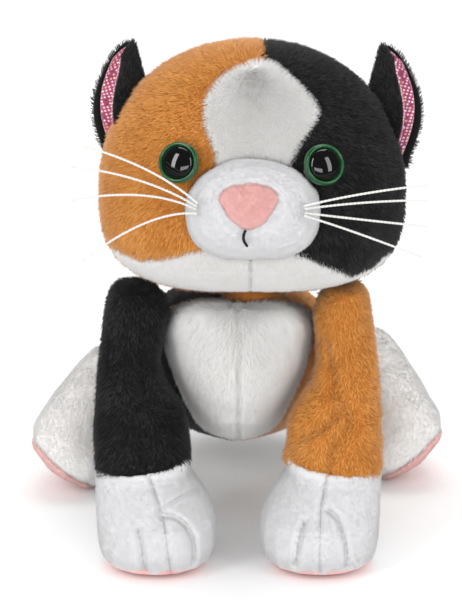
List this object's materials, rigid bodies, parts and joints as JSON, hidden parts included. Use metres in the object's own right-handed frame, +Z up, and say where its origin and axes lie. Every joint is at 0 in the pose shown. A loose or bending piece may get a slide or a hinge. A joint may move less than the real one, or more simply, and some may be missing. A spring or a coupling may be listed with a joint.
{
  "type": "plush toy cat",
  "caption": "Seated plush calico cat with safety eyes, cord whiskers, cupped lined ears, separate fur panels and jointed head, legs, ears and tail",
  "frame": {"origin": "on the floor, under the middle of the cat's overall box", "axes": "+Z up, the cat faces -Y, +X is the cat's own left"},
  "size_m": [0.1733, 0.2256, 0.1987],
  "materials": {
    "orange_fur": "long pile fur",
    "black_fur": "long pile fur",
    "white_fur": "long pile fur",
    "white_velboa": "short pile",
    "pink_velboa": "short pile",
    "foil_lining": "satin with foil dots",
    "fibre_fill": "loose polyester fibre",
    "pellet_pouch": "plain weave",
    "green_plastic": "gloss",
    "black_plastic": "gloss",
    "clear_plastic": "clear",
    "white_cord": "twisted cord",
    "black_thread": "thread"
  },
  "bodies": {
    "torso": {"body_stuffing": "fibre_fill", "pellet_bag": "pellet_pouch", "belly_panel": "white_fur", "chest_panel_left": "white_fur", "chest_panel_right": "white_fur", "side_panel_left": "orange_fur", "side_panel_right": "black_fur"},
    "neck": {"neck_gusset": "orange_fur"},
    "head": {"head_stuffing": "fibre_fill", "face_panel_orange": "orange_fur", "face_panel_black": "black_fur", "forehead_blaze": "white_fur", "chin_panel_left": "white_fur", "chin_panel_right": "white_fur", "back_of_head_left": "orange_fur", "back_of_head_right": "orange_fur", "muzzle_cover": "white_velboa", "muzzle_stuffing": "fibre_fill", "nose_patch": "pink_velboa", "mouth_stitch": "black_thread", "eye_dome_left": "clear_plastic", "eye_disc_green_left": "green_plastic", "eye_pupil_left": "black_plastic", "eye_post_left": "black_plastic", "eye_washer_left": "black_plastic", "whisker_left_1": "white_cord", "whisker_left_2": "white_cord", "whisker_left_3": "white_cord", "whisker_left_4": "white_cord", "eye_dome_right": "clear_plastic", "eye_disc_green_right": "green_plastic", "eye_pupil_right": "black_plastic", "eye_post_right": "black_plastic", "eye_washer_right": "black_plastic", "whisker_right_1": "white_cord", "whisker_right_2": "white_cord", "whisker_right_3": "white_cord", "whisker_right_4": "white_cord"},
    "ear_left": {"ear_back_left": "black_fur", "ear_lining_left": "foil_lining"},
    "front_leg_left": {"front_leg_sleeve_left": "orange_fur", "front_paw_cover_left": "white_velboa", "front_paw_sole_left": "pink_velboa", "front_leg_stuffing_left": "fibre_fill"},
    "hind_leg_left": {"hind_leg_cover_left": "white_fur", "hind_paw_sole_left": "pink_velboa", "hind_leg_stuffing_left": "fibre_fill"},
    "ear_right": {"ear_back_right": "black_fur", "ear_lining_right": "foil_lining"},
    "front_leg_right": {"front_leg_sleeve_right": "black_fur", "front_paw_cover_right": "white_velboa", "front_paw_sole_right": "pink_velboa", "front_leg_stuffing_right": "fibre_fill"},
    "hind_leg_right": {"hind_leg_cover_right": "white_fur", "hind_paw_sole_right": "pink_velboa", "hind_leg_stuffing_right": "fibre_fill"},
    "tail": {"tail_cover": "black_fur", "tail_stuffing": "fibre_fill"}
  },
  "joints": [
    {"name": "head_turn", "type": "hinge", "parent": "torso", "child": "neck", "pos_m": [0.003, -0.0273, 0.091], "axis": [0, 0, 1], "range_deg": [-25, 25]},
    {"name": "head_nod", "type": "hinge", "parent": "neck", "child": "head", "pos_m": [0.003, -0.0273, 0.093], "axis": [-1, 0, 0], "range_deg": [-3, 8]},
    {"name": "ear_left", "type": "hinge", "parent": "head", "child": "ear_left", "pos_m": [0.057, -0.03332, 0.16759], "axis": [0.5, -0.2676, -0.8236], "range_deg": [-5, 10]},
    {"name": "ear_right", "type": "hinge", "parent": "head", "child": "ear_right", "pos_m": [-0.043, -0.03301, 0.16854], "axis": [0.5, 0.2676, 0.8236], "range_deg": [-5, 10]},
    {"name": "front_leg_left", "type": "hinge", "parent": "torso", "child": "front_leg_left", "pos_m": [0.043, -0.0533, 0.082], "axis": [-1, 0, 0], "range_deg": [-2, 35]},
    {"name": "front_leg_right", "type": "hinge", "parent": "torso", "child": "front_leg_right", "pos_m": [-0.043, -0.0533, 0.082], "axis": [-1, 0, 0], "range_deg": [-2, 35]},
    {"name": "hind_leg_left", "type": "hinge", "parent": "torso", "child": "hind_leg_left", "pos_m": [0.045, 0.0357, 0.0255], "axis": [-1, 0, 0], "range_deg": [-3, 35]},
    {"name": "hind_leg_right", "type": "hinge", "parent": "torso", "child": "hind_leg_right", "pos_m": [-0.045, 0.0247, 0.0255], "axis": [-1, 0, 0], "range_deg": [-3, 35]},
    {"name": "tail_swing", "type": "hinge", "parent": "torso", "child": "tail", "pos_m": [0, 0.0737, 0.015], "axis": [0, 0, 1], "range_deg": [-15, 40]}
  ]
}
